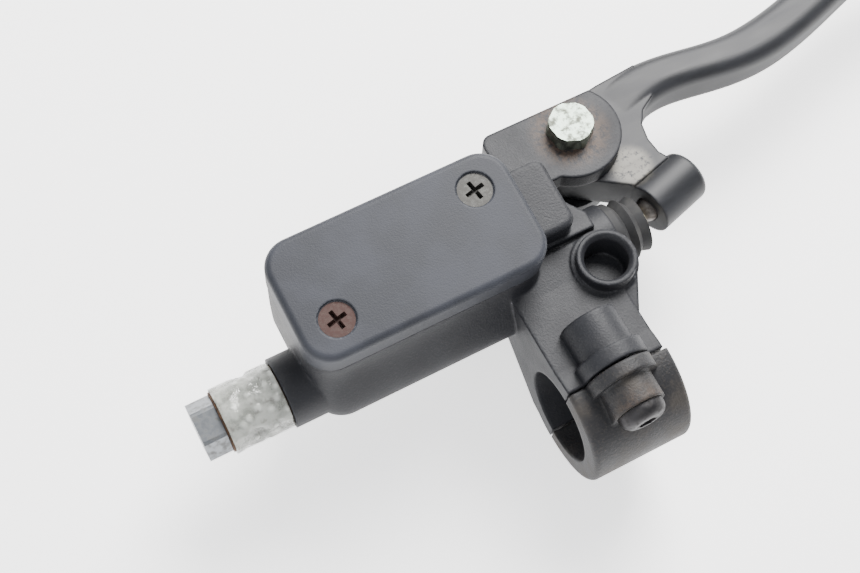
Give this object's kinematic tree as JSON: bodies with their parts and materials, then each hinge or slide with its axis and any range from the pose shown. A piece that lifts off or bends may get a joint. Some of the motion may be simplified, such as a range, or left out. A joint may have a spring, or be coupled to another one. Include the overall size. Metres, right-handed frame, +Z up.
{
  "type": "brake master cylinder",
  "caption": "Motorcycle front brake master cylinder with rectangular fluid reservoir, handlebar clamp and hinged hand lever.",
  "frame": {"origin": "centre of the handlebar bore in the clamp", "axes": "+X along the handlebar towards the lever's tip, +Y forward away from the rider, +Z up, square to the reservoir cap"},
  "size_m": [0.2664, 0.0944, 0.0525],
  "materials": {
    "cast_black": "satin black paint on die-cast aluminium, worn at the corners",
    "cap_black": "fine-grained charcoal",
    "lever_black": "smooth satin charcoal",
    "zinc": "dull bright zinc, stained",
    "steel": "plain steel",
    "spring_steel": "drawn wire",
    "bronze": "sintered",
    "alloy": "anodised",
    "copper": "oxidised",
    "rubber": "matt black",
    "film": "clear crumpled film"
  },
  "bodies": {
    "housing": {"body": "cast_black", "reservoir_cap": "cap_black", "diaphragm": "rubber", "cap_screws": "zinc", "clamp_cap": "cast_black", "clamp_bolts": "steel", "pivot_bolt": "zinc", "pivot_nut": "zinc", "return_spring": "spring_steel", "stop_washer": "steel", "circlip": "spring_steel", "dust_boot": "rubber", "outlet_bolt": "zinc", "seal_washers": "copper", "film_wrap": "film"},
    "lever": {"lever": "lever_black", "lever_bush": "bronze", "adjuster_screw": "steel"},
    "piston": {"piston": "alloy", "primary_cup": "rubber", "secondary_cup": "rubber", "cup_washer": "steel", "spring_seat": "alloy"}
  },
  "joints": [
    {"name": "lever_pivot", "type": "hinge", "parent": "housing", "child": "lever", "pos_m": [0.0208, 0.0556, 0.00069], "axis": [0, -0.1045, -0.9945], "range_deg": [0, 16]},
    {"name": "piston_slide", "type": "slide", "parent": "housing", "child": "piston", "axis": [-1, 0, 0], "range_m": [0, 0.0062], "stiffness_N_per_m": 2000, "springref_m": -0.012, "deforming": ["return_spring", "dust_boot"]}
  ],
  "couplings": [
    {"joint": "piston_slide", "follows": "lever_pivot", "m_per_rad": 0.0222}
  ]
}
